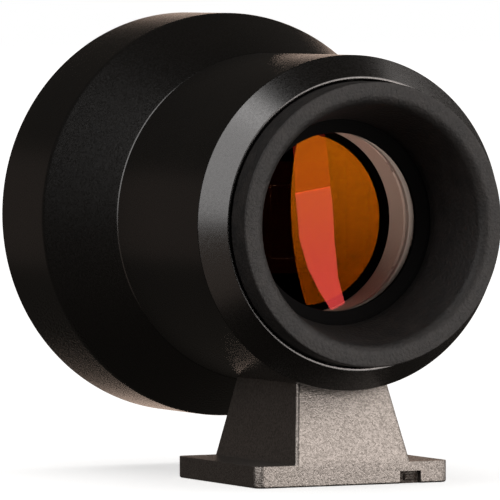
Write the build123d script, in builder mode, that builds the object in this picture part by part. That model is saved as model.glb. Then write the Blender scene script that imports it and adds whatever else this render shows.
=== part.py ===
from build123d import *
import os

# A bright-line viewfinder for a camera's accessory shoe: a turned barrel with a flared
# front bell, a rubber eyecup at the rear and a cast foot below that slides into the shoe.
# Millimetres. The origin is the centre of the foot's underside, +Z is up and +Y is the
# way the finder looks, so the eye is on the -Y side.

# ---- driving dimensions ----
# shoe foot
foot_width = 18.6
foot_length = 16.7
foot_thickness = 1.9
foot_corner = 0.9
foot_edge_round = 0.2
pedestal_width = 11.1
pedestal_corner = 0.35
side_slope = 0.171
rear_slope = 0.319
front_slope = 0.291
saddle_overlap = 1.8
gate_width = 2.05
gate_height = 1.1
gate_depth = 0.4
gate_offset = 5.5
gate_stub_depth = 0.2

# barrel; stations are measured along the optical axis from the middle of the foot
axis_height = 22.8
barrel_rear = -9.95
barrel_length = 18.98
barrel_radius = 14.6
barrel_wall = 2.7
collar_length = 2.15
collar_bevel = 1.84
collar_land = 0.26
collar_edge_round = 0.24
pocket_depth = 6.35
web_thickness = 1.6
spigot_length = 5.0
spigot_step = 1.0
spigot_wall = 1.0
front_bore_depth = 5.83
seam_bevel = 0.12

# bell
bell_flare = 3.52
cone_length = 8.4
hood_length = 9.3
bell_wall = 1.4
bell_edge_bevel = 0.3
lens_bore_wall = 1.52
lens_seat_depth = 6.53
seat_thickness = 0.8
seat_width = 1.0

# every lens has a flat land round each face, as wide as this
lens_land = 0.9

# eyepiece cell and what is stacked in it, from the eye forwards
cell_length = 10.0
cell_stand = 1.8
cell_wall = 1.2
cell_lip_thickness = 1.0
cell_lip_width = 0.8
cell_flange_thickness = 0.9
nut_width = 2.0
nut_thickness = 1.6
nut_clearance = 0.1
eyepiece_ring_thickness = 0.85
eyepiece_ring_bevel = 0.4
eyepiece_edge = 1.4
eyepiece_rear_sag = 0.45
eyepiece_front_sag = 0.25
plate_spacer_thickness = 0.5
plate_spacer_width = 0.7
frame_plate_thickness = 0.8
cell_tube_wall = 0.55
mirror_ring_width = 1.15
mirror_ring_thickness = 0.75
mirror_edge = 1.85
mirror_rear_sag = 0.9
mirror_front_sag = 0.4

# eyecup
eyecup_stand = 2.6
eyecup_clearance = 0.15
eyecup_rim = 1.8
eyecup_outer_round = 0.2
eyecup_inner_round = 0.75
eyecup_skirt = 1.2
eyecup_lip = 0.8
eyecup_throat_step = 0.3

# field mask and second lens, in the mouth of the spigot
mask_thickness = 0.4
mask_window_width = 15.0
mask_window_height = 10.0
mask_ring_thickness = 0.8
second_edge = 2.2
second_rear_sag = 1.6
second_front_sag = 0.4
second_ring_thickness = 1.2

# front lens and baffle, in the bell
seal_thickness = 0.3
front_edge = 2.6
front_rear_sag = 2.0
front_front_sag = 0.8
front_ring_thickness = 1.8
front_ring_bevel = 0.5
baffle_gap = 0.15
baffle_wall = 1.0
baffle_pitch = 1.0
baffle_groove_width = 0.5
baffle_groove_depth = 0.4

# foot screws
screw_radius = 0.8
screw_spacing = 3.7
screw_head_radius = 1.5
screw_head_height = 0.9
screw_head_clearance = 0.1
screw_seat_depth = 1.2
screw_slot_width = 0.4
screw_slot_depth = 0.4
screw_hole_floor = 1.0
screw_tip_gap = 0.3

# ---- radii ----
spigot_radius = barrel_radius - spigot_step
front_bore = spigot_radius - spigot_wall
main_bore = barrel_radius - barrel_wall
collar_edge_radius = barrel_radius - collar_bevel
collar_bore = collar_edge_radius - collar_land
bell_radius = barrel_radius + bell_flare
inner_bell = bell_radius - bell_wall
lens_bore = bell_radius - lens_bore_wall
cell_radius = main_bore - nut_width
cell_bore = cell_radius - cell_wall
eyecup_radius = collar_bore - eyecup_clearance
cell_flange_radius = eyecup_radius - eyecup_skirt

# ---- stations along the axis ----
seam = barrel_rear + barrel_length
spigot_end = seam + spigot_length
front_bore_start = spigot_end - front_bore_depth
cone_end = seam + cone_length
bell_front = cone_end + hood_length
web_rear = barrel_rear + pocket_depth
web_front = web_rear + web_thickness
cell_rear = web_rear - cell_stand
cell_front = cell_rear + cell_length
flange_rear = web_rear - cell_flange_thickness
eyepiece_rear_land = cell_rear + eyepiece_ring_thickness
eyepiece_front_land = eyepiece_rear_land + eyepiece_edge
plate_rear = eyepiece_front_land + plate_spacer_thickness
plate_front = plate_rear + frame_plate_thickness
mirror_front_land = cell_front - cell_lip_thickness
mirror_rear_land = mirror_front_land - mirror_edge
mirror_ring_rear = mirror_rear_land - mirror_ring_thickness
mask_front = front_bore_start + mask_thickness
second_rear_land = mask_front + mask_ring_thickness
second_front_land = second_rear_land + second_edge
second_ring_front = second_front_land + second_ring_thickness
seat_rear = bell_front - lens_seat_depth
seat_front = seat_rear + seat_thickness
front_rear_land = seat_front + seal_thickness
front_front_land = front_rear_land + front_edge
front_ring_front = front_front_land + front_ring_thickness
eyecup_rear = barrel_rear - eyecup_stand

# ---- pedestal and screws ----
barrel_bottom = axis_height - barrel_radius
pedestal_top = barrel_bottom + saddle_overlap
pedestal_rise = pedestal_top - foot_thickness
pedestal_top_rear = -foot_length / 2 + rear_slope * pedestal_rise
pedestal_top_front = foot_length / 2 - front_slope * pedestal_rise
pedestal_top_width = pedestal_width - 2 * side_slope * pedestal_rise
pedestal_top_length = pedestal_top_front - pedestal_top_rear
pedestal_top_middle = (pedestal_top_front + pedestal_top_rear) / 2
# the screws stand in the middle of the stretch that the bore and the pedestal share
shared_rear = max(web_front, pedestal_top_rear)
shared_front = min(front_bore_start, pedestal_top_front)
shared_middle = (shared_rear + shared_front) / 2
screw_places = [(0, shared_middle - screw_spacing / 2), (0, shared_middle + screw_spacing / 2)]
screw_seat = barrel_bottom + barrel_wall - screw_seat_depth
screw_hole_bottom = foot_thickness + screw_hole_floor
screw_tip = screw_hole_bottom + screw_tip_gap

axial = Plane(origin=(0, 0, axis_height), x_dir=(0, 1, 0), z_dir=(1, 0, 0))
optical_axis = Axis((0, 0, axis_height), (0, 1, 0))

os.makedirs("parts", exist_ok=True)


# a closed outline of (station, radius) corners, ready to turn about the optical axis
def outline(*corners):
    with BuildSketch(axial) as profile:
        with BuildLine():
            Polyline(*corners, close=True)
        make_face()
    return profile.sketch


# a plain ring between two stations
def ring(rear, front, inner, outer):
    return outline((rear, inner), (rear, outer), (front, outer), (front, inner))


# a lens with a flat land round each face; a sag is how far the middle stands forward
# (+Y) of the land
def lens_outline(radius, rear_land, rear_sag, front_land, front_sag):
    clear = radius - lens_land
    with BuildSketch(axial) as profile:
        with BuildLine():
            TangentArc((rear_land + rear_sag, 0), (rear_land, clear), tangent=(0, 1))
            Line((rear_land, clear), (rear_land, radius))
            Line((rear_land, radius), (front_land, radius))
            Line((front_land, radius), (front_land, clear))
            TangentArc((front_land + front_sag, 0), (front_land, clear), tangent=(0, 1))
            Line((front_land + front_sag, 0), (rear_land + rear_sag, 0))
        make_face()
    return profile.sketch


def save(piece, name):
    piece.part.label = name
    export_step(piece.part, f"parts/{name}.step")


# ---- shoe foot: plate and drafted pedestal in one casting ----
with BuildPart() as pedestal:
    with BuildSketch(Plane.XY.offset(foot_thickness)):
        Rectangle(pedestal_width, foot_length)
    with BuildSketch(Plane.XY.offset(pedestal_top)):
        with Locations((0, pedestal_top_middle)):
            Rectangle(pedestal_top_width, pedestal_top_length)
    loft()
    corner_edges = pedestal.edges().filter_by(lambda edge: abs(edge.tangent_at(0.5).Z) > 0.5)
    fillet(corner_edges, pedestal_corner)
    shell_profile = outline(
        (barrel_rear, 0),
        (barrel_rear, barrel_radius),
        (seam, barrel_radius),
        (cone_end, bell_radius),
        (bell_front, bell_radius),
        (bell_front, 0),
    )
    revolve(shell_profile, axis=optical_axis, mode=Mode.SUBTRACT)

with BuildPart() as shoe_foot:
    with BuildSketch():
        RectangleRounded(foot_width, foot_length, foot_corner)
    extrude(amount=foot_thickness)
    fillet(shoe_foot.edges().group_by(Axis.Z)[0], foot_edge_round)
    add(pedestal.part)
    # the recess where the casting's gate was broken off, with the stub left inside it
    with BuildSketch(Plane.XZ.offset(foot_length / 2)):
        with Locations((gate_offset, gate_height / 2)):
            Rectangle(gate_width, gate_height)
    extrude(amount=-gate_depth, mode=Mode.SUBTRACT)
    with BuildSketch(Plane.XZ.offset(foot_length / 2 - gate_depth)):
        with Locations((gate_offset, gate_height / 2)):
            Rectangle(gate_width / 2, gate_height / 2)
    extrude(amount=gate_stub_depth, taper=20)
    # tapped holes for the two screws that come down from inside the barrel
    with BuildSketch(Plane.XY.offset(pedestal_top)):
        with Locations(*screw_places):
            Circle(screw_radius)
    extrude(amount=screw_hole_bottom - pedestal_top, mode=Mode.SUBTRACT)
save(shoe_foot, "shoe_foot")

# ---- foot screws: cheese heads in seats cut in the barrel's floor ----
with BuildPart() as foot_screws:
    with BuildSketch(Plane.XY.offset(screw_tip)):
        with Locations(*screw_places):
            Circle(screw_radius)
    extrude(amount=screw_seat - screw_tip)
    with BuildSketch(Plane.XY.offset(screw_seat)):
        with Locations(*screw_places):
            Circle(screw_head_radius)
    extrude(amount=screw_head_height)
    with BuildSketch(Plane.XY.offset(screw_seat + screw_head_height)):
        with Locations(*screw_places):
            Rectangle(2 * screw_head_radius, screw_slot_width)
    extrude(amount=-screw_slot_depth, mode=Mode.SUBTRACT)
save(foot_screws, "foot_screws")

# ---- rear barrel: bevelled collar, plain cylinder and a threaded spigot for the bell ----
with BuildPart() as rear_barrel:
    barrel_profile = outline(
        (barrel_rear, collar_bore),
        (barrel_rear, collar_edge_radius),
        (barrel_rear + collar_length, barrel_radius),
        (seam - seam_bevel, barrel_radius),
        (seam, barrel_radius - seam_bevel),
        (seam, spigot_radius),
        (spigot_end, spigot_radius),
        (spigot_end, front_bore),
        (front_bore_start, front_bore),
        (front_bore_start, main_bore),
        (web_front, main_bore),
        (web_front, cell_radius),
        (web_rear, cell_radius),
        (web_rear, collar_bore),
    )
    revolve(barrel_profile, axis=optical_axis)
    mouth_edges = rear_barrel.edges().filter_by(GeomType.CIRCLE).group_by(Axis.Y)[0]
    fillet(mouth_edges.sort_by(SortBy.RADIUS)[0], collar_edge_round)
    with BuildSketch(Plane.XY.offset(screw_seat)):
        with Locations(*screw_places):
            Circle(screw_radius)
    extrude(amount=-barrel_wall, mode=Mode.SUBTRACT)
    with BuildSketch(Plane.XY.offset(screw_seat)):
        with Locations(*screw_places):
            Circle(screw_head_radius + screw_head_clearance)
    extrude(amount=barrel_wall, mode=Mode.SUBTRACT)
save(rear_barrel, "rear_barrel")

# ---- front bell: cone and hood, screwed onto the barrel's spigot ----
cone_slope = bell_flare / cone_length
seat_bore = lens_bore - seat_width
inner_cone_start = inner_bell - cone_slope * (cone_end - spigot_end)
with BuildPart() as front_bell:
    bell_profile = outline(
        (seam, spigot_radius),
        (seam, barrel_radius - seam_bevel),
        (seam + seam_bevel, barrel_radius + cone_slope * seam_bevel),
        (cone_end, bell_radius),
        (bell_front - bell_edge_bevel, bell_radius),
        (bell_front, bell_radius - bell_edge_bevel),
        (bell_front, lens_bore),
        (seat_front, lens_bore),
        (seat_front, seat_bore),
        (seat_rear, seat_bore),
        (seat_rear, inner_bell),
        (cone_end, inner_bell),
        (spigot_end, inner_cone_start),
        (spigot_end, spigot_radius),
    )
    revolve(bell_profile, axis=optical_axis)
save(front_bell, "front_bell")

# ---- objective baffle: a stepped conical sleeve that stops light off the bell's wall ----
baffle_rear_radius = inner_cone_start - baffle_gap
baffle_front_radius = inner_bell - baffle_gap
baffle_steps = int((cone_end - spigot_end) / baffle_pitch)
with BuildPart() as objective_baffle:
    sleeve = outline(
        (spigot_end, baffle_rear_radius - baffle_wall),
        (spigot_end, baffle_rear_radius),
        (cone_end, baffle_front_radius),
        (seat_rear, baffle_front_radius),
        (seat_rear, baffle_front_radius - baffle_wall),
        (cone_end, baffle_front_radius - baffle_wall),
    )
    revolve(sleeve, axis=optical_axis)
    for index in range(baffle_steps):
        groove_front = spigot_end + (index + 1) * baffle_pitch
        groove_rear = groove_front - baffle_groove_width
        wall_radius = baffle_rear_radius - baffle_wall + cone_slope * (groove_rear - spigot_end)
        groove = ring(groove_rear, groove_front, 0, wall_radius + baffle_groove_depth)
        revolve(groove, axis=optical_axis, mode=Mode.SUBTRACT)
save(objective_baffle, "objective_baffle")

# ---- front lens, its seal and its retaining ring ----
with BuildPart() as front_lens_seal:
    revolve(ring(seat_front, front_rear_land, seat_bore, lens_bore), axis=optical_axis)
save(front_lens_seal, "front_lens_seal")

with BuildPart() as front_lens:
    front_profile = lens_outline(
        lens_bore, front_rear_land, front_rear_sag, front_front_land, front_front_sag
    )
    revolve(front_profile, axis=optical_axis)
save(front_lens, "front_lens")

front_ring_bore = lens_bore - lens_land
with BuildPart() as front_retaining_ring:
    front_ring_profile = outline(
        (front_front_land, front_ring_bore),
        (front_front_land, lens_bore),
        (front_ring_front, lens_bore),
        (front_ring_front, front_ring_bore + front_ring_bevel),
    )
    revolve(front_ring_profile, axis=optical_axis)
save(front_retaining_ring, "front_retaining_ring")

# ---- second lens group in the mouth of the spigot ----
with BuildPart() as field_mask:
    revolve(ring(front_bore_start, mask_front, 0, front_bore), axis=optical_axis)
    with BuildSketch(Plane.XZ.offset(-front_bore_start)):
        with Locations((0, axis_height)):
            Rectangle(mask_window_width, mask_window_height)
    extrude(amount=-mask_thickness, mode=Mode.SUBTRACT)
save(field_mask, "field_mask")

with BuildPart() as mask_ring:
    revolve(ring(mask_front, second_rear_land, front_bore - lens_land, front_bore), axis=optical_axis)
save(mask_ring, "mask_ring")

with BuildPart() as second_lens:
    second_profile = lens_outline(
        front_bore, second_rear_land, second_rear_sag, second_front_land, second_front_sag
    )
    revolve(second_profile, axis=optical_axis)
save(second_lens, "second_lens")

with BuildPart() as second_lens_ring:
    second_ring = ring(second_front_land, second_ring_front, front_bore - lens_land, front_bore)
    revolve(second_ring, axis=optical_axis)
save(second_lens_ring, "second_lens_ring")

# ---- eyepiece cell: a flanged tube through the barrel's web, held by a ring nut ----
with BuildPart() as eyepiece_cell:
    cell_profile = outline(
        (cell_rear, cell_bore),
        (cell_rear, cell_radius),
        (flange_rear, cell_radius),
        (flange_rear, cell_flange_radius),
        (web_rear, cell_flange_radius),
        (web_rear, cell_radius),
        (cell_front, cell_radius),
        (cell_front, cell_bore - cell_lip_width),
        (mirror_front_land, cell_bore - cell_lip_width),
        (mirror_front_land, cell_bore),
    )
    revolve(cell_profile, axis=optical_axis)
save(eyepiece_cell, "eyepiece_cell")

with BuildPart() as cell_ring_nut:
    nut = ring(web_front, web_front + nut_thickness, cell_radius, main_bore - nut_clearance)
    revolve(nut, axis=optical_axis)
save(cell_ring_nut, "cell_ring_nut")

# ---- eyepiece stack inside the cell, from the eye forwards ----
with BuildPart() as eyepiece_ring:
    eyepiece_ring_profile = outline(
        (cell_rear + eyepiece_ring_bevel, cell_bore - lens_land),
        (cell_rear, cell_bore),
        (eyepiece_rear_land, cell_bore),
        (eyepiece_rear_land, cell_bore - lens_land),
    )
    revolve(eyepiece_ring_profile, axis=optical_axis)
save(eyepiece_ring, "eyepiece_ring")

with BuildPart() as eyepiece_lens:
    eyepiece_profile = lens_outline(
        cell_bore, eyepiece_rear_land, -eyepiece_rear_sag, eyepiece_front_land, eyepiece_front_sag
    )
    revolve(eyepiece_profile, axis=optical_axis)
save(eyepiece_lens, "eyepiece_lens")

with BuildPart() as plate_spacer:
    spacer = ring(eyepiece_front_land, plate_rear, cell_bore - plate_spacer_width, cell_bore)
    revolve(spacer, axis=optical_axis)
save(plate_spacer, "plate_spacer")

with BuildPart() as frame_plate:
    revolve(ring(plate_rear, plate_front, 0, cell_bore), axis=optical_axis)
save(frame_plate, "frame_plate")

with BuildPart() as cell_tube:
    tube = ring(plate_front, mirror_ring_rear, cell_bore - cell_tube_wall, cell_bore)
    revolve(tube, axis=optical_axis)
save(cell_tube, "cell_tube")

with BuildPart() as mirror_ring:
    lens_stop = ring(mirror_ring_rear, mirror_rear_land, cell_bore - mirror_ring_width, cell_bore)
    revolve(lens_stop, axis=optical_axis)
save(mirror_ring, "mirror_ring")

with BuildPart() as mirror_lens:
    mirror_profile = lens_outline(
        cell_bore, mirror_rear_land, mirror_rear_sag, mirror_front_land, mirror_front_sag
    )
    revolve(mirror_profile, axis=optical_axis)
save(mirror_lens, "mirror_lens")

# ---- rubber eyecup: stretched over the cell's flange, with a lip over its rear face ----
eyecup_throat = cell_bore + eyecup_throat_step
rim_inner = eyecup_radius - eyecup_rim
with BuildPart() as eyecup:
    with BuildSketch(axial) as eyecup_profile:
        with BuildLine():
            Polyline(
                (web_rear, cell_flange_radius),
                (web_rear, eyecup_radius),
                (eyecup_rear, eyecup_radius),
                (eyecup_rear, rim_inner),
                (cell_rear - eyecup_lip, eyecup_throat),
                (cell_rear, eyecup_throat),
                (cell_rear, cell_radius),
                (flange_rear, cell_radius),
                (flange_rear, cell_flange_radius),
                close=True,
            )
        make_face()
        # the rim is crisp outside and rolls softly into the hollow
        fillet(eyecup_profile.vertices().group_by(Axis.X)[0].sort_by(Axis.Y)[-1], eyecup_outer_round)
        fillet(eyecup_profile.vertices().group_by(Axis.X)[0].sort_by(Axis.Y)[0], eyecup_inner_round)
    revolve(axis=optical_axis)
save(eyecup, "eyecup")
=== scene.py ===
import math
import bmesh
import bpy
from mathutils import Matrix, Vector


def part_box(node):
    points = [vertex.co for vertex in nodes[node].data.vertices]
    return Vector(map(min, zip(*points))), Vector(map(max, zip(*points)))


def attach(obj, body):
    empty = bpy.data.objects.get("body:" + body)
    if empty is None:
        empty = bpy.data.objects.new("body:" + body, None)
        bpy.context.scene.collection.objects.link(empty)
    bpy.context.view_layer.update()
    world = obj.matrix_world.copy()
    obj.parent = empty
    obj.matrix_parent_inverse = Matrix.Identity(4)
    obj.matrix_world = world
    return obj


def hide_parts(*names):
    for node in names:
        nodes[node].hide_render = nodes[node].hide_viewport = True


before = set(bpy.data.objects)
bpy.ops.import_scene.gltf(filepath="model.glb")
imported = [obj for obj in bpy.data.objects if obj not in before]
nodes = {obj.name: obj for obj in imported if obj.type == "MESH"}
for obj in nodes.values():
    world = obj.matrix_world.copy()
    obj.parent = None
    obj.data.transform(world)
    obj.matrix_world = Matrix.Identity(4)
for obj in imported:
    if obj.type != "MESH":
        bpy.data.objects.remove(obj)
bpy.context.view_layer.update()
millimetre = 0.001
print("frame loaded with", len(nodes), "nodes")


# a box's ends and radius in millimetres, for a node turned about the optical axis
def turnedSize(name):
    low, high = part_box(name)
    return low.y / millimetre, high.y / millimetre, (high.z - low.z) / 2 / millimetre


# the optical axis runs along +Y, at the height of the barrel's middle
barrelLow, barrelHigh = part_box("rear_barrel")
axisHeight = (barrelLow.z + barrelHigh.z) / 2

barrelRear, spigotEnd, barrelRadius = turnedSize("rear_barrel")
seam, bellFront, bellRadius = turnedSize("front_bell")
cellRear = turnedSize("eyepiece_cell")[0]
cupRear, webRear, cupRadius = turnedSize("eyecup")
maskRear, frontBore = turnedSize("field_mask")[::2]


# an sRGB hex colour as the linear values that Blender's sockets want
def linearColour(hexText):
    parts = [int(hexText[i:i + 2], 16) / 255 for i in (1, 3, 5)]
    linear = [p / 12.92 if p <= 0.04045 else ((p + 0.055) / 1.055) ** 2.4 for p in parts]
    return (*linear, 1.0)


# a pattern's scale, from the real size of one repeat in millimetres
def repeats(size):
    return 1 / (size * millimetre)


# adds a node, sets its properties, fills its sockets with values and links the rest
def addNode(tree, kind, properties=None, values=None, links=None):
    node = tree.nodes.new(kind)
    for name, value in (properties or {}).items():
        setattr(node, name, value)
    for socket, value in (values or {}).items():
        node.inputs[socket].default_value = value
    for socket, source in (links or {}).items():
        tree.links.new(source, node.inputs[socket])
    return node


# an empty material with its output, and the place on the object, ready for a surface
def newMaterial(name):
    material = bpy.data.materials.new(name)
    material.use_nodes = True
    tree = material.node_tree
    tree.nodes.clear()
    output = addNode(tree, "ShaderNodeOutputMaterial")
    place = addNode(tree, "ShaderNodeTexCoord").outputs["Object"]
    return material, tree, output, place


def finishMaterial(tree, output, shader):
    tree.links.new(shader.outputs[0], output.inputs["Surface"])


def dress(material, *names):
    for name in names:
        mesh = nodes[name].data
        mesh.materials.clear()
        mesh.materials.append(material)


anodised = {
    "dye": "#040404",          # black dye in the oxide layer
    "dyeWorn": "#090807",      # where the dye took a little less
    "cloud": 6.0,              # mm, how far apart such places are
    "roughness": 0.27,
    "grain": 0.2,              # mm, blasted grain, drawn coarser than the real 0.05 mm to show
    "grainDepth": 0.008,       # mm
    "bump": 0.34,
}


# Black anodised aluminium, bead blasted first: a dark satin skin with a fine even grain that
# breaks up the edge of every reflection. The oxide is a clear dielectric over black dye.
def blackAnodised():
    material, tree, output, place = newMaterial("black anodised aluminium, bead blasted")
    grain = addNode(tree, "ShaderNodeTexNoise", {}, {
        "Scale": repeats(anodised["grain"]), "Detail": 2.0, "Roughness": 0.6,
    }, {"Vector": place})
    cloud = addNode(tree, "ShaderNodeTexNoise", {}, {
        "Scale": repeats(anodised["cloud"]), "Detail": 3.0,
    }, {"Vector": place})
    dye = addNode(tree, "ShaderNodeMix", {"data_type": "RGBA"}, {
        "A": linearColour(anodised["dye"]), "B": linearColour(anodised["dyeWorn"]),
    }, {"Factor": cloud.outputs["Fac"]})
    rough = addNode(tree, "ShaderNodeMapRange", {}, {
        "From Min": 0.3, "From Max": 0.7,
        "To Min": anodised["roughness"] - 0.04, "To Max": anodised["roughness"] + 0.06,
    }, {"Value": grain.outputs["Fac"]})
    bump = addNode(tree, "ShaderNodeBump", {}, {
        "Strength": anodised["bump"], "Distance": anodised["grainDepth"] * millimetre,
    }, {"Height": grain.outputs["Fac"]})
    shader = addNode(tree, "ShaderNodeBsdfPrincipled", {}, {"IOR": 1.5}, {
        "Base Color": dye.outputs["Result"], "Roughness": rough.outputs["Result"],
        "Normal": bump.outputs["Normal"],
    })
    finishMaterial(tree, output, shader)
    return material


footFinish = {
    "metal": "#5a5652",
    "speck": "#7b7672",        # grains where the blackening is thin
    "roughness": 0.42,
    "grain": 0.13,             # mm, about the real grain of a fine moulding sand
    "coarseGrain": 0.25,       # mm
    "grainDepth": 0.06,        # mm
    "plateTop": 1.8,           # mm, below it the skin is rougher than on the pedestal
    "plateBump": 0.55,
    "pedestalBump": 0.34,
    "pitShade": "#2e2824",         # painted shade in the pits of the raw broken metal where the casting's gate was snapped off
    "tear": 0.35,              # mm
    "tearDepth": 0.15,         # mm
    "scarRoughness": 0.55,
}


# Blackened casting with the grain of its sand mould: bare metal under a thin dark film, coarser
# than the tube, so a lit face sparkles and turns pale grey while the faces turned away stay dark.
def blackenedCasting():
    material, tree, output, place = newMaterial("blackened casting, sand textured")
    pebbles = addNode(tree, "ShaderNodeTexVoronoi", {}, {"Scale": repeats(footFinish["grain"])},
                      {"Vector": place})
    coarse = addNode(tree, "ShaderNodeTexNoise", {}, {
        "Scale": repeats(footFinish["coarseGrain"]), "Detail": 4.0, "Roughness": 0.7,
    }, {"Vector": place})
    sparkle = addNode(tree, "ShaderNodeSeparateColor", {}, {}, {0: pebbles.outputs["Color"]})
    height = addNode(tree, "ShaderNodeMath", {"operation": "SUBTRACT"}, {}, {
        0: coarse.outputs["Fac"], 1: pebbles.outputs["Distance"],
    })
    metal = addNode(tree, "ShaderNodeMix", {"data_type": "RGBA"}, {
        "A": linearColour(footFinish["metal"]), "B": linearColour(footFinish["speck"]),
    }, {"Factor": sparkle.outputs["Red"]})
    rough = addNode(tree, "ShaderNodeMapRange", {}, {
        "To Min": footFinish["roughness"] - 0.04, "To Max": footFinish["roughness"] + 0.04,
    }, {"Value": coarse.outputs["Fac"]})
    axes = addNode(tree, "ShaderNodeSeparateXYZ", {}, {}, {0: place})
    skin = addNode(tree, "ShaderNodeMapRange", {}, {
        "From Min": footFinish["plateTop"] * millimetre,
        "From Max": (footFinish["plateTop"] + 0.5) * millimetre,
        "To Min": footFinish["plateBump"], "To Max": footFinish["pedestalBump"],
    }, {"Value": axes.outputs["Z"]})
    bump = addNode(tree, "ShaderNodeBump", {}, {
        "Distance": footFinish["grainDepth"] * millimetre,
    }, {"Strength": skin.outputs["Result"], "Height": height.outputs["Value"]})
    shader = addNode(tree, "ShaderNodeBsdfPrincipled", {}, {"Metallic": 1.0}, {
        "Base Color": metal.outputs["Result"], "Roughness": rough.outputs["Result"],
        "Normal": bump.outputs["Normal"],
    })
    finishMaterial(tree, output, shader)
    return material


# Raw metal where the casting's gate was snapped off: torn and dull, its pits darkened nearly to black by
# painted shade.
def brokenMetal():
    material, tree, output, place = newMaterial("broken casting, blackened")
    tears = addNode(tree, "ShaderNodeTexNoise", {}, {
        "Scale": repeats(footFinish["tear"]), "Detail": 6.0, "Roughness": 0.75,
    }, {"Vector": place})
    # painted shade: the low parts of the torn relief take the dark pit colour
    pitShadeMask = addNode(tree, "ShaderNodeMapRange", {}, {"From Min": 0.42, "From Max": 0.66},
                   {"Value": tears.outputs["Fac"]})
    colour = addNode(tree, "ShaderNodeMix", {"data_type": "RGBA"}, {
        "A": linearColour(footFinish["pitShade"]), "B": linearColour(footFinish["metal"]),
    }, {"Factor": pitShadeMask.outputs["Result"]})
    bump = addNode(tree, "ShaderNodeBump", {}, {
        "Strength": 1.0, "Distance": footFinish["tearDepth"] * millimetre,
    }, {"Height": tears.outputs["Fac"]})
    shader = addNode(tree, "ShaderNodeBsdfPrincipled", {}, {
        "Metallic": 1.0, "Roughness": footFinish["scarRoughness"],
    }, {
        "Base Color": colour.outputs["Result"], "Normal": bump.outputs["Normal"],
    })
    finishMaterial(tree, output, shader)
    return material


rubberFinish = {
    "colour": "#060505",
    "bloom": "#191614",        # the greyish bloom that old rubber carries
    "bloomPatch": 1.6,         # mm
    "roughness": 0.62,
    "grain": 0.28,             # mm, the mould's eggshell, drawn coarser than the real 0.1 mm to show
    "grainDepth": 0.1,         # mm
    "bump": 0.8,
}


# Moulded rubber: soft wide highlights, a faint dusty bloom and a fine eggshell skin.
def mouldedRubber():
    material, tree, output, place = newMaterial("moulded black rubber")
    skin = addNode(tree, "ShaderNodeTexNoise", {}, {
        "Scale": repeats(rubberFinish["grain"]), "Detail": 3.0,
    }, {"Vector": place})
    dust = addNode(tree, "ShaderNodeTexNoise", {}, {
        "Scale": repeats(rubberFinish["bloomPatch"]), "Detail": 7.0, "Roughness": 0.8,
    }, {"Vector": place})
    bloom = addNode(tree, "ShaderNodeMapRange", {}, {"From Min": 0.4, "From Max": 0.7},
                    {"Value": dust.outputs["Fac"]})
    colour = addNode(tree, "ShaderNodeMix", {"data_type": "RGBA"}, {
        "A": linearColour(rubberFinish["colour"]), "B": linearColour(rubberFinish["bloom"]),
    }, {"Factor": bloom.outputs["Result"]})
    rough = addNode(tree, "ShaderNodeMapRange", {}, {
        "To Min": rubberFinish["roughness"] - 0.08, "To Max": rubberFinish["roughness"] + 0.08,
    }, {"Value": skin.outputs["Fac"]})
    bump = addNode(tree, "ShaderNodeBump", {}, {
        "Strength": rubberFinish["bump"], "Distance": rubberFinish["grainDepth"] * millimetre,
    }, {"Height": skin.outputs["Fac"]})
    shader = addNode(tree, "ShaderNodeBsdfPrincipled", {}, {
        "IOR": 1.52, "Specular IOR Level": 0.3,
    }, {
        "Base Color": colour.outputs["Result"], "Roughness": rough.outputs["Result"],
        "Normal": bump.outputs["Normal"],
    })
    finishMaterial(tree, output, shader)
    return material


lacquerFinish = {
    "turningPitch": 0.9,       # mm, turning lines, drawn wider apart than the real 0.1 mm to show
    "turningDepth": 0.01,      # mm
    "bump": 0.25,
    "spots": 0.4,              # mm, where the lacquer lies a little thicker
}


# Lacquer over turned aluminium, as inside every optical tube: the matt black one swallows light,
# the grey ones give it back softly, and only fine turning lines show in any of them.
def innerLacquer(name, baseHex, warmHex, roughness, specular):
    material, tree, output, place = newMaterial(name)
    lines = addNode(tree, "ShaderNodeTexWave", {"wave_type": "BANDS", "bands_direction": "Y"}, {
        "Scale": repeats(lacquerFinish["turningPitch"]), "Distortion": 0.4, "Detail": 1.0,
    }, {"Vector": place})
    spots = addNode(tree, "ShaderNodeTexNoise", {}, {
        "Scale": repeats(lacquerFinish["spots"]), "Detail": 4.0,
    }, {"Vector": place})
    colour = addNode(tree, "ShaderNodeMix", {"data_type": "RGBA"}, {
        "A": linearColour(baseHex), "B": linearColour(warmHex),
    }, {"Factor": spots.outputs["Fac"]})
    bump = addNode(tree, "ShaderNodeBump", {}, {
        "Strength": lacquerFinish["bump"],
        "Distance": lacquerFinish["turningDepth"] * millimetre,
    }, {"Height": lines.outputs["Fac"]})
    shader = addNode(tree, "ShaderNodeBsdfPrincipled", {}, {
        "IOR": 1.45, "Roughness": roughness, "Specular IOR Level": specular,
    }, {
        "Base Color": colour.outputs["Result"], "Normal": bump.outputs["Normal"],
    })
    finishMaterial(tree, output, shader)
    return material


glassFinish = {
    "dust": 0.5,               # mm, specks on a lens, drawn coarser than the real 0.05 mm to show
    "haze": 0.012,             # roughness of the thickest dust
    "bellHaze": 0.01,
    "coatShadeFade": 7.0,               # mm above and below the axis, over which the painted shade on a coating's reflection fades in
    "clear": "#fbf8f6",
    "grazing": 0.6,            # the share mirrored where the glass is seen edge on
    "grazingBlend": 0.1,
}


# roughness that rises a little where dust lies
def dustHaze(tree, place, haze):
    dust = addNode(tree, "ShaderNodeTexNoise", {}, {
        "Scale": repeats(glassFinish["dust"]), "Detail": 6.0, "Roughness": 0.8,
    }, {"Vector": place})
    return addNode(tree, "ShaderNodeMapRange", {}, {
        "From Min": 0.62, "From Max": 0.85, "To Min": 0.0, "To Max": haze,
    }, {"Value": dust.outputs["Fac"]})
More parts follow.
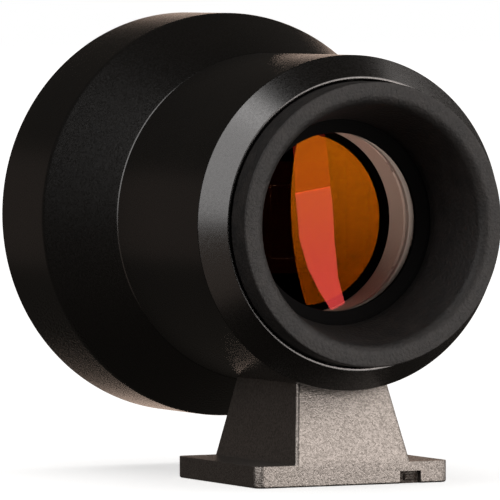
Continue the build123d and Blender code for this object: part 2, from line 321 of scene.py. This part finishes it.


# Thin coated glass: what lies behind shows through, and the coating's residual colour lies over
# it as a sharp reflection. Only the face that looks outwards mirrors, so no ghost images appear.
# Given a second, darker copy of the coating's colour, the glass mirrors in it below the axis: painted shade
# that dims its reflection there.
def coatedGlass(name, bodyHex, coatHex, mirrored, shadedCoatHex=None):
    material, tree, output, place = newMaterial(name)
    haze = dustHaze(tree, place, glassFinish["haze"])
    clear = addNode(tree, "ShaderNodeBsdfTransparent", {}, {"Color": linearColour(bodyHex)})
    gloss = addNode(tree, "ShaderNodeBsdfAnisotropic", {}, {"Color": linearColour(coatHex)},
                    {"Roughness": haze.outputs["Result"]})
    # painted shade: below the axis the coating's reflection takes a darker copy of its colour
    if shadedCoatHex:
        axes = addNode(tree, "ShaderNodeSeparateXYZ", {}, {}, {0: place})
        coatShadeFade = glassFinish["coatShadeFade"] * millimetre
        height = addNode(tree, "ShaderNodeMapRange", {"interpolation_type": "SMOOTHSTEP"}, {
            "From Min": axisHeight - coatShadeFade, "From Max": axisHeight + coatShadeFade,
        }, {"Value": axes.outputs["Z"]})
        coat = addNode(tree, "ShaderNodeMix", {"data_type": "RGBA"}, {
            "A": linearColour(shadedCoatHex), "B": linearColour(coatHex),
        }, {"Factor": height.outputs["Result"]})
        tree.links.new(coat.outputs["Result"], gloss.inputs["Color"])
    facing = addNode(tree, "ShaderNodeLayerWeight", {}, {"Blend": glassFinish["grazingBlend"]})
    face = addNode(tree, "ShaderNodeNewGeometry")
    share = addNode(tree, "ShaderNodeMapRange", {}, {
        "To Min": mirrored, "To Max": glassFinish["grazing"],
    }, {"Value": facing.outputs["Facing"]})
    outward = addNode(tree, "ShaderNodeMath", {"operation": "SUBTRACT", "use_clamp": True}, {}, {
        0: share.outputs["Result"], 1: face.outputs["Backfacing"],
    })
    shader = addNode(tree, "ShaderNodeMixShader", {}, {}, {
        0: outward.outputs["Value"], 1: clear.outputs[0], 2: gloss.outputs[0],
    })
    finishMaterial(tree, output, shader)
    return material


# Optical glass that bends what lies behind it, for the large lenses in the bell; the bloom on
# it mirrors violet.
def bellGlass():
    material, tree, output, place = newMaterial("optical glass, violet bloomed")
    haze = dustHaze(tree, place, glassFinish["bellHaze"])
    shader = addNode(tree, "ShaderNodeBsdfPrincipled", {}, {
        "Base Color": linearColour("#ffffff"), "IOR": 1.52, "Transmission Weight": 1.0,
        "Specular Tint": linearColour("#8a6cff"),
    }, {"Roughness": haze.outputs["Result"]})
    finishMaterial(tree, output, shader)
    return material


turning = {
    "steps": 240,              # round the axis
    "sharp": 35,               # degrees, an edge past this stays sharp
    "polishedSharp": 5,        # the same on glass, whose faces are smooth throughout
    "sameCorner": 0.005,       # mm, how near an edge lies to the outline's corner that it came from
}


def meshObject(mesh, name, material, smooth=True, polished=False):
    data = bpy.data.meshes.new(name)
    mesh.to_mesh(data)
    mesh.free()
    data.materials.append(material)
    piece = bpy.data.objects.new(name, data)
    bpy.context.scene.collection.objects.link(piece)
    if smooth:
        data.shade_smooth()
        sharp = turning["polishedSharp" if polished else "sharp"]
        data.set_sharp_from_angle(angle=math.radians(sharp))
        if not polished:
            normals = piece.modifiers.new("faceNormals", "WEIGHTED_NORMAL")
            normals.keep_sharp = True
    return piece


# Turns an outline of (station, radius) corners, in millimetres, about the optical axis. An open
# outline starts and ends on the axis. rounds gives corners, by number, a radius and its segments.
def turnPiece(name, outline, material, rounds=None, closed=True, polished=False):
    mesh = bmesh.new()
    corners = [
        mesh.verts.new((0, station * millimetre, axisHeight + radius * millimetre))
        for station, radius in outline
    ]
    followers = corners[1:] + corners[:1] if closed else corners[1:]
    edges = [mesh.edges.new(pair) for pair in zip(corners, followers)]
    bmesh.ops.spin(
        mesh, geom=corners + edges, cent=(0, 0, axisHeight), axis=(0, 1, 0), dvec=(0, 0, 0),
        angle=2 * math.pi, steps=turning["steps"], use_merge=True, use_normal_flip=False,
        use_duplicate=False,
    )
    bmesh.ops.remove_doubles(mesh, verts=mesh.verts, dist=1e-7)
    bmesh.ops.recalc_face_normals(mesh, faces=mesh.faces)
    near = turning["sameCorner"] * millimetre
    for corner, (radius, segments) in (rounds or {}).items():
        station, ringRadius = (value * millimetre for value in outline[corner])
        chosen = [
            edge for edge in mesh.edges
            if all(
                abs(v.co.y - station) < near
                and abs(math.hypot(v.co.x, v.co.z - axisHeight) - ringRadius) < near
                for v in edge.verts
            )
        ]
        bmesh.ops.bevel(
            mesh, geom=chosen, offset=radius * millimetre, offset_type="OFFSET", affect="EDGES",
            segments=segments, profile=0.5, material=-1,
        )
    return meshObject(mesh, name, material, polished=polished)


def standsFor(piece, name):
    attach(piece, "root")
    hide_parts(name)


barrel = {
    "collarLength": 2.15,      # mm, all of them
    "collarBevel": 1.84,
    "land": 0.26,
    "mouthRound": 0.1,
    "landRound": 0.02,
    "wall": 2.7,
    "web": 1.6,
    "cellRadius": 9.9,
    "spigotStep": 1.0,
    "seamBevel": 0.12,
    "edge": 0.07,              # broken edges, so that they catch the light
}


def makeBarrel():
    mouth = barrelRadius - barrel["collarBevel"]
    bore = mouth - barrel["land"]
    inner = barrelRadius - barrel["wall"]
    spigot = barrelRadius - barrel["spigotStep"]
    webFront = webRear + barrel["web"]
    outline = [
        (barrelRear, bore), (barrelRear, mouth),
        (barrelRear + barrel["collarLength"], barrelRadius),
        (seam - barrel["seamBevel"], barrelRadius), (seam, barrelRadius - barrel["seamBevel"]),
        (seam, spigot), (spigotEnd, spigot), (spigotEnd, frontBore), (maskRear, frontBore),
        (maskRear, inner), (webFront, inner), (webFront, barrel["cellRadius"]),
        (webRear, barrel["cellRadius"]), (webRear, bore),
    ]
    rounds = {
        0: (barrel["mouthRound"], 6), 1: (barrel["landRound"], 1), 2: (barrel["edge"], 3),
    }
    return turnPiece("turnedBarrel", outline, tubeBlack, rounds)


bell = {
    "coneLength": 8.4,         # mm, all of them
    "wall": 1.4,
    "lensBoreWall": 1.52,
    "seatDepth": 6.53,
    "seatThickness": 0.8,
    "seatWidth": 1.0,
    "seamBevel": 0.12,
    "shoulderRound": 0.3,      # where the cone turns into the hood
    "rimRound": 0.3,
    "boreRound": 0.12,
}


def makeBell():
    coneEnd = seam + bell["coneLength"]
    slope = (bellRadius - barrelRadius) / bell["coneLength"]
    inner = bellRadius - bell["wall"]
    lensBore = bellRadius - bell["lensBoreWall"]
    spigot = barrelRadius - barrel["spigotStep"]
    seatRear = bellFront - bell["seatDepth"]
    seatFront = seatRear + bell["seatThickness"]
    outline = [
        (seam, spigot), (seam, barrelRadius - bell["seamBevel"]),
        (seam + bell["seamBevel"], barrelRadius + slope * bell["seamBevel"]),
        (coneEnd, bellRadius), (bellFront, bellRadius), (bellFront, lensBore),
        (seatFront, lensBore), (seatFront, lensBore - bell["seatWidth"]),
        (seatRear, lensBore - bell["seatWidth"]), (seatRear, inner), (coneEnd, inner),
        (spigotEnd, inner - slope * (coneEnd - spigotEnd)), (spigotEnd, spigot),
    ]
    rounds = {
        3: (bell["shoulderRound"], 4), 4: (bell["rimRound"], 5), 5: (bell["boreRound"], 3),
    }
    return turnPiece("turnedBell", outline, tubeBlack, rounds)


tubeBlack = blackAnodised()
turnedBarrel = makeBarrel()
standsFor(turnedBarrel, "rear_barrel")
standsFor(makeBell(), "front_bell")
print("barrel and bell turned")

eyecup = {
    "rim": 1.8,                # mm, all of them
    "outerRound": 0.16,
    "innerRound": 0.75,
    "throatRound": 0.35,
    "throat": 9.0,
    "skirt": 1.2,
    "lip": 0.8,
    "flange": 0.9,
}


def makeEyecup():
    flange = cupRadius - eyecup["skirt"]
    flangeRear = webRear - eyecup["flange"]
    outline = [
        (webRear, flange), (webRear, cupRadius), (cupRear, cupRadius),
        (cupRear, cupRadius - eyecup["rim"]), (cellRear - eyecup["lip"], eyecup["throat"]),
        (cellRear, eyecup["throat"]), (cellRear, barrel["cellRadius"]),
        (flangeRear, barrel["cellRadius"]), (flangeRear, flange),
    ]
    rounds = {
        2: (eyecup["outerRound"], 4), 3: (eyecup["innerRound"], 10), 4: (eyecup["throatRound"], 5),
    }
    return turnPiece("eyecupRubber", outline, mouldedRubber(), rounds)


standsFor(makeEyecup(), "eyecup")
print("eyecup made")

# for each lens, how far its rear and front faces stand forward of their lands, and how wide the
# flat land round each face is, in millimetres
lenses = {
    "eyepiece": (-0.53, 0.25, 0.3),   # its polished faces almost reach the ring
    "mirror": (0.9, 0.4, 0.9),
    "second": (1.6, 0.4, 0.9),
    "front": (2.0, 0.8, 0.9),
    "arcSteps": 28,            # along each face
}


# points along a spherical face from the axis to its land
def arcPoints(land, sag, clear):
    radius = (clear ** 2 + sag ** 2) / (2 * abs(sag))
    side = math.copysign(1, sag)
    reach = math.asin(clear / radius)
    turns = [reach * step / lenses["arcSteps"] for step in range(lenses["arcSteps"] + 1)]
    return [
        (land + sag - side * radius * (1 - math.cos(turn)), radius * math.sin(turn))
        for turn in turns
    ]


def makeLens(kind, material):
    rear, front, radius = turnedSize(kind + "_lens")
    rearSag, frontSag, landWidth = lenses[kind]
    rearLand = rear - min(rearSag, 0)
    frontLand = front - max(frontSag, 0)
    clear = radius - landWidth
    outline = (
        arcPoints(rearLand, rearSag, clear) + [(rearLand, radius), (frontLand, radius)]
        + arcPoints(frontLand, frontSag, clear)[::-1]
    )
    lens = turnPiece(kind + "Lens", outline, material, closed=False, polished=True)
    standsFor(lens, kind + "_lens")
    return lens


# each coated glass: its body's colour, its coating's, and the share of the light that it mirrors
roseGlass = coatedGlass("eyepiece glass, rose coated", glassFinish["clear"], "#ff5a56", 0.14)
# the amber glass's last colour is a darker copy of its coating, painted shade on its reflection below the
# axis
amberGlass = coatedGlass("amber coated glass", "#9a5a2a", "#ff9616", 0.22, "#a04c00")
plateGlass = coatedGlass("flat glass, bloomed", glassFinish["clear"], "#604030", 0.01)
violetGlass = bellGlass()
eyepieceLens = makeLens("eyepiece", roseGlass)
mirrorLens = makeLens("mirror", amberGlass)
bellLenses = [
    makeLens("second", violetGlass), makeLens("front", violetGlass),
]
print("lenses ground")

frameLines = {
    "width": 9.6,              # mm, the framed field
    "height": 6.4,             # mm
    "line": 0.016,             # mm
    "thickness": 0.01,         # mm
    "arm": 2.2,                # mm, length of each corner's arms
    "film": "#241d18",
    "patch": 0.3,              # mm, how far apart the film is thicker
    "smooth": 0.2,             # roughness where it is thick
    "rough": 0.35,
}


# Silver deposited through a mask: a thin metal film, darkened by the bloomed glass over it and
# slightly uneven in thickness.
def silverFilm():
    material, tree, output, place = newMaterial("vacuum deposited silver")
    patches = addNode(tree, "ShaderNodeTexNoise", {}, {"Scale": repeats(frameLines["patch"]), "Detail": 3.0},
                      {"Vector": place})
    rough = addNode(tree, "ShaderNodeMapRange", {}, {
        "To Min": frameLines["smooth"], "To Max": frameLines["rough"],
    }, {"Value": patches.outputs["Fac"]})
    shader = addNode(tree, "ShaderNodeBsdfPrincipled", {}, {
        "Base Color": linearColour(frameLines["film"]), "Metallic": 1.0,
    }, {"Roughness": rough.outputs["Result"]})
    finishMaterial(tree, output, shader)
    return material


def makeFrameLines():
    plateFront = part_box("frame_plate")[1].y
    width, height, line, thickness, arm = (
        frameLines[size] * millimetre for size in ("width", "height", "line", "thickness", "arm")
    )
    mesh = bmesh.new()
    for sideX in (-1, 1):
        for sideZ in (-1, 1):
            cornerX = sideX * width / 2
            cornerZ = axisHeight + sideZ * height / 2
            arms = (
                ((cornerX - sideX * arm / 2, cornerZ), (arm + line, line)),
                ((cornerX, cornerZ - sideZ * (arm + line) / 2), (line, arm)),
            )
            for (x, z), (wide, tall) in arms:
                place = Matrix.Translation((x, plateFront + thickness / 2, z))
                size = Matrix.Diagonal((wide, thickness, tall, 1))
                bmesh.ops.create_cube(mesh, size=1.0, matrix=place @ size)
    return meshObject(mesh, "frameLines", silverFilm(), smooth=False)


lines = makeFrameLines()
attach(lines, "root")
print("frame lines made")

foot = {
    "edge": 0.14,              # mm, the casting's edges are softly broken
    "flatAngle": 1.0,          # degrees, faces closer than this are one face
    "edgeAngle": 28.0,         # degrees, edges sharper than this are broken
    "gateMiddle": 5.5,         # mm, the recess of the broken gate, in the plate's rear edge
    "gateWidth": 2.05,         # mm
    "gateHeight": 1.1,         # mm
    "gateDepth": 0.4,          # mm
    "gateSkin": (0.02, 0.05),  # mm, its faces start this far in, and end this far past its depth
}


# the casting with its edges broken: its faces are joined up first, so that each edge is whole
def makeFoot():
    mesh = bmesh.new()
    mesh.from_mesh(nodes["shoe_foot"].data)
    bmesh.ops.remove_doubles(mesh, verts=mesh.verts, dist=1e-6)
    bmesh.ops.dissolve_limit(
        mesh, angle_limit=math.radians(foot["flatAngle"]), verts=mesh.verts, edges=mesh.edges,
        use_dissolve_boundaries=False,
    )
    edgeAngle = math.radians(foot["edgeAngle"])
    sharp = [
        edge for edge in mesh.edges
        if len(edge.link_faces) == 2 and edge.calc_face_angle() > edgeAngle
    ]
    bmesh.ops.bevel(
        mesh, geom=sharp, offset=foot["edge"] * millimetre, offset_type="OFFSET", affect="EDGES",
        segments=2, profile=0.5, material=-1, clamp_overlap=True,
    )
    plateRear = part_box("shoe_foot")[0].y
    skinStart, skinEnd = foot["gateSkin"]
    for face in mesh.faces:
        centre = face.calc_center_median()
        across = abs(centre.x / millimetre - foot["gateMiddle"])
        inwards = (centre.y - plateRear) / millimetre
        inRecess = across < foot["gateWidth"] / 2 and centre.z / millimetre < foot["gateHeight"]
        if inRecess and skinStart < inwards < foot["gateDepth"] + skinEnd:
            face.material_index = 1
    piece = meshObject(mesh, "castFoot", blackenedCasting())
    piece.data.materials.append(brokenMetal())
    return piece


standsFor(makeFoot(), "shoe_foot")
print("foot finished")

# each lacquer's two colours, its roughness and how strongly its skin mirrors
dress(
    innerLacquer("matt black optical lacquer", "#050505", "#090808", 0.85, 0.05),
    "objective_baffle", "front_retaining_ring", "field_mask", "mask_ring", "second_lens_ring",
    "eyepiece_cell", "cell_ring_nut", "eyepiece_ring", "mirror_ring", "front_lens_seal",
    "foot_screws",
)
dress(innerLacquer("grey lacquered tube", "#b5aca6", "#c2b8b2", 0.6, 0.3), "cell_tube")
dress(innerLacquer("dark grey lacquered ring", "#7f7872", "#888079", 0.6, 0.3), "plate_spacer")
dress(plateGlass, "frame_plate")
print("surfaces made")

studio = {
    "floorSize": 6.0,          # m
    "floorDrop": 0.02,         # mm below the foot, so that the two flat faces don't share a plane
    "paper": "#fbfaf9",
    "backdrop": "#ffffff",
    "fibres": 1.1,             # mm, the paper's faint mottling
    "floorGlow": 0.72,
    "floorSun": 1.3,
    "sunAngle": 75,            # degrees, wide, so that its shadow is soft
    "room": "#34302c",
}


def makeFloor():
    mesh = bmesh.new()
    bmesh.ops.create_grid(mesh, x_segments=1, y_segments=1, size=studio["floorSize"] / 2)
    bmesh.ops.translate(mesh, vec=(0, 0, -studio["floorDrop"] * millimetre), verts=mesh.verts)
    material, tree, output, place = newMaterial("white background paper")
    fibres = addNode(tree, "ShaderNodeTexNoise", {}, {
        "Scale": repeats(studio["fibres"]), "Detail": 2.0,
    }, {"Vector": place})
    colour = addNode(tree, "ShaderNodeMix", {"data_type": "RGBA"}, {
        "A": linearColour(studio["paper"]), "B": linearColour(studio["backdrop"]),
    }, {"Factor": fibres.outputs["Fac"]})
    paper = addNode(tree, "ShaderNodeBsdfDiffuse", {}, {}, {"Color": colour.outputs["Result"]})
    glow = addNode(tree, "ShaderNodeEmission", {}, {"Strength": studio["floorGlow"]},
                   {"Color": colour.outputs["Result"]})
    shader = addNode(tree, "ShaderNodeAddShader", {}, {}, {0: paper.outputs[0], 1: glow.outputs[0]})
    finishMaterial(tree, output, shader)
    floor = meshObject(mesh, "studioFloor", material, smooth=False)
    floor.visible_glossy = False
    floor.visible_diffuse = False
    floor.visible_transmission = False
    floor.visible_shadow = False
    return floor


# white behind the object, and a dim warm room in everything that the object mirrors
def makeRoom():
    world = bpy.data.worlds.new("studio")
    world.use_nodes = True
    bpy.context.scene.world = world
    tree = world.node_tree
    tree.nodes.clear()
    output = addNode(tree, "ShaderNodeOutputWorld")
    path = addNode(tree, "ShaderNodeLightPath")
    room = addNode(tree, "ShaderNodeBackground", {}, {"Color": linearColour(studio["room"])})
    backdrop = addNode(tree, "ShaderNodeBackground", {}, {
        "Color": linearColour(studio["backdrop"]),
    })
    mixed = addNode(tree, "ShaderNodeMixShader", {}, {}, {
        0: path.outputs["Is Camera Ray"], 1: room.outputs[0], 2: backdrop.outputs[0],
    })
    finishMaterial(tree, output, mixed)


# a light that falls only on some of the pieces
def linkLight(light, pieces):
    receivers = bpy.data.collections.new(light.name + "Receivers")
    for piece in pieces:
        receivers.objects.link(piece)
    light.light_linking.receiver_collection = receivers


def addLamp(name, light, pieces):
    lamp = bpy.data.objects.new(name, light)
    bpy.context.scene.collection.objects.link(lamp)
    linkLight(lamp, pieces)
    return lamp


# the way from the object to a place in the studio: how far round from -Y and how high, in degrees
def towards(around, height):
    around, height = math.radians(around), math.radians(height)
    return Vector((
        math.sin(around) * math.cos(height), -math.cos(around) * math.cos(height), math.sin(height)
    ))


# a soft box that faces the object: how far round from -Y and how high it stands in degrees, its
# size in metres, how bright its cloth is, and its distance in metres
def softBox(name, around, height, size, radiance, hexColour, pieces, distance=0.5, turn=0):
    light = bpy.data.lights.new(name, "AREA")
    light.shape = "RECTANGLE"
    light.size, light.size_y = size
    light.energy = radiance * size[0] * size[1] * math.pi
    light.color = linearColour(hexColour)[:3]
    lamp = addLamp(name, light, pieces)
    way = towards(around, height)
    lamp.location = Vector((0, 0, axisHeight)) + way * distance
    spin = Matrix.Rotation(math.radians(turn), 3, "Z")
    lamp.rotation_euler = ((-way).to_track_quat("-Z", "Y").to_matrix() @ spin).to_euler()
    lamp.visible_camera = False
    return lamp


# a card of any outline that only some pieces mirror: its corners are given as ways from the
# object, and its glow is one value, or changes evenly from its lowest corner to its highest
def shapedCard(name, corners, distance, glow, hexColour, pieces, glowHigh=None):
    mesh = bmesh.new()
    middle = Vector((0, 0, axisHeight))
    places = [middle + towards(*corner) * distance for corner in corners]
    mesh.faces.new([mesh.verts.new(place) for place in places])
    material, tree, output, place = newMaterial(name + " glow")
    shader = addNode(tree, "ShaderNodeEmission", {}, {
        "Color": linearColour(hexColour), "Strength": glow,
    })
    if glowHigh is not None:
        axes = addNode(tree, "ShaderNodeSeparateXYZ", {}, {}, {0: place})
        heights = [corner.z for corner in places]
        fading = addNode(tree, "ShaderNodeMapRange", {}, {
            "From Min": min(heights), "From Max": max(heights), "To Min": glow, "To Max": glowHigh,
        }, {"Value": axes.outputs["Z"]})
        tree.links.new(fading.outputs["Result"], shader.inputs["Strength"])
    finishMaterial(tree, output, shader)
    card = meshObject(mesh, name, material, smooth=False)
    card.visible_camera = False
    card.visible_shadow = False
    linkLight(card, pieces)


def makeFloorSun(floor):
    light = bpy.data.lights.new("floorSun", "SUN")
    light.energy = studio["floorSun"]
    light.angle = math.radians(studio["sunAngle"])
    addLamp("floorSun", light, [floor])


studioFloor = makeFloor()
makeRoom()
makeFloorSun(studioFloor)

thinGlass = [eyepieceLens, mirrorLens, nodes["frame_plate"]]
solids = [
    piece for piece in bpy.context.scene.collection.all_objects
    if piece.type == "MESH" and piece not in thinGlass and piece is not studioFloor
]
opaque = [piece for piece in solids if piece not in bellLenses]
greyRings = [nodes["cell_tube"], nodes["plate_spacer"]]

# the large boxes left and right make the broad reflections, the cards light single pieces, and
# the panel behind edges the bell's underside
softBox("rightRearBox", 28, 8, (0.42, 0.78), 5.0, "#fff8f4", solids)
softBox("leftBox", 286, 33.5, (0.34, 0.66), 4.7, "#fffcfb", solids)
softBox("upperLeftBox", 291, 62, (0.26, 0.16), 2.6, "#fffcfb", [turnedBarrel])
softBox("leftLowBox", 286, -22, (0.34, 0.34), 0.5, "#ffe6d6", solids)
softBox("landCard", 27, 0, (0.22, 0.22), 8.0, "#fff0e8", [turnedBarrel])
softBox("rightSideBox", 88, 18, (0.26, 0.7), 3.0, "#fff8f4", opaque)
backPanel = softBox("backPanel", 154.5, -3, (0.4, 0.34), 1.4, "#ffe0cc", opaque, distance=0.6)
backPanel.visible_transmission = False   # so that it doesn't show through the bell's lenses
softBox("frontGlassCard", 196, 30, (0.26, 0.1), 2.2, "#ffffff", bellLenses)
softBox("backLeftCard", 206, 0, (0.26, 0.22), 0.07, "#ffe2d4", solids)
softBox("mirrorCard", 2.8, -6, (0.47, 0.95), 2.6, "#ffffff", [mirrorLens], turn=1.5)
softBox("tubeCard", -24, -20, (0.3, 0.14), 24.0, "#fff8f4", greyRings)

# the window that the eyepiece mirrors: a tall bent strip in two panes, the upper one dimmer, with
# a bright edge between them; each corner is how far round and how high it stands, in degrees
window = {
    "distance": 1.2,           # m, behind the soft boxes, so that it hides none of them
    "sillLeft": (18.7, 2.2),
    "sillRight": (24.9, 3.0),
    "headLeft": (18.7, 2.45),
    "headRight": (24.9, 3.25),
    "upper": [(18.9, 16), (24.5, 16)],
    "lower": [
        (25.6, -5), (26.6, -10), (28.7, -14.5), (30.6, -19), (29, -19), (26.7, -15.6),
        (23.5, -12.2), (21.2, -9.0), (19.4, -4.5),
    ],
    "flagDistance": 4.0,       # m
    "flag": [(-30, -50), (62, -50), (62, 50), (-30, 50)],
}


def makeWindow():
    sill = [window["sillLeft"], window["sillRight"]]
    head = [window["headRight"], window["headLeft"]]
    distance, seenBy = window["distance"], [eyepieceLens]
    shapedCard("windowUpper", window["upper"] + head, distance, 0.8, "#ffc090", seenBy, glowHigh=0.2)
    shapedCard("windowLower", sill + window["lower"], distance, 3.6, "#ffeef4", seenBy, glowHigh=2.0)
    shapedCard("windowTransom", sill + head, distance, 3.4, "#ffd8b0", seenBy)
    # a black flag behind it keeps the rest of the room out of the glass
    shapedCard("blackFlag", window["flag"], window["flagDistance"], 0.0, "#000000", seenBy)


makeWindow()
print("studio lit")

camera = {
    "lens": 528.0,             # mm
    "sensor": 36.0,            # mm
    "distance": 636.06,        # mm
    "azimuth": -25.217,        # degrees, 0 looks along +Y
    "elevation": 2.265,
    "roll": -0.222,
    "lookAt": (-8.165, -4.70, 20.517),   # mm
    "near": 0.01,              # m
    "far": 20.0,               # m
}


def makeCamera():
    azimuth, elevation = math.radians(camera["azimuth"]), math.radians(camera["elevation"])
    ahead = Vector((
        -math.sin(azimuth) * math.cos(elevation), math.cos(azimuth) * math.cos(elevation),
        -math.sin(elevation),
    ))
    data = bpy.data.cameras.new("studioCamera")
    data.sensor_width = camera["sensor"]
    data.lens = camera["lens"]
    data.clip_start = camera["near"]
    data.clip_end = camera["far"]
    eye = bpy.data.objects.new("studioCamera", data)
    bpy.context.scene.collection.objects.link(eye)
    turn = ahead.to_track_quat("-Z", "Y").to_matrix()
    roll = Matrix.Rotation(math.radians(camera["roll"]), 3, "Z")
    place = Vector(camera["lookAt"]) * millimetre - ahead * camera["distance"] * millimetre
    eye.matrix_world = Matrix.Translation(place) @ (turn @ roll).to_4x4()
    bpy.context.scene.camera = eye


makeCamera()
bpy.context.scene.view_settings.view_transform = "Standard"
print("camera placed")
